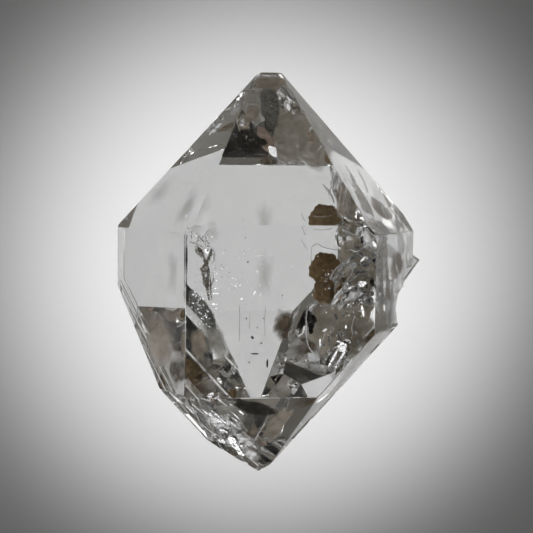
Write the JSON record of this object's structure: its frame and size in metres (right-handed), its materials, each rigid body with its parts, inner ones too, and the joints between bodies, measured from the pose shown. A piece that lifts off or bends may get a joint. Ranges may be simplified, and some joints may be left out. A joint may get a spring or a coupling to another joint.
{
  "type": "herkimer diamond quartz crystal",
  "caption": "Clear doubly terminated quartz crystal with flat hexagonal prism and pyramid faces, growth terraces, broken hollows on one side and clay inclusions.",
  "frame": {"origin": "centre of the box at the rear prism face, on which the crystal lies", "axes": "+Y along the crystal's long axis toward the upper point of the picture, +X to the picture's right, +Z out of the front prism face"},
  "size_m": [0.0238, 0.03, 0.0174],
  "materials": {
    "quartz": "clear, glassy natural faces"
  },
  "bodies": {
    "root": {"quartz_crystal": "quartz"}
  },
  "joints": []
}
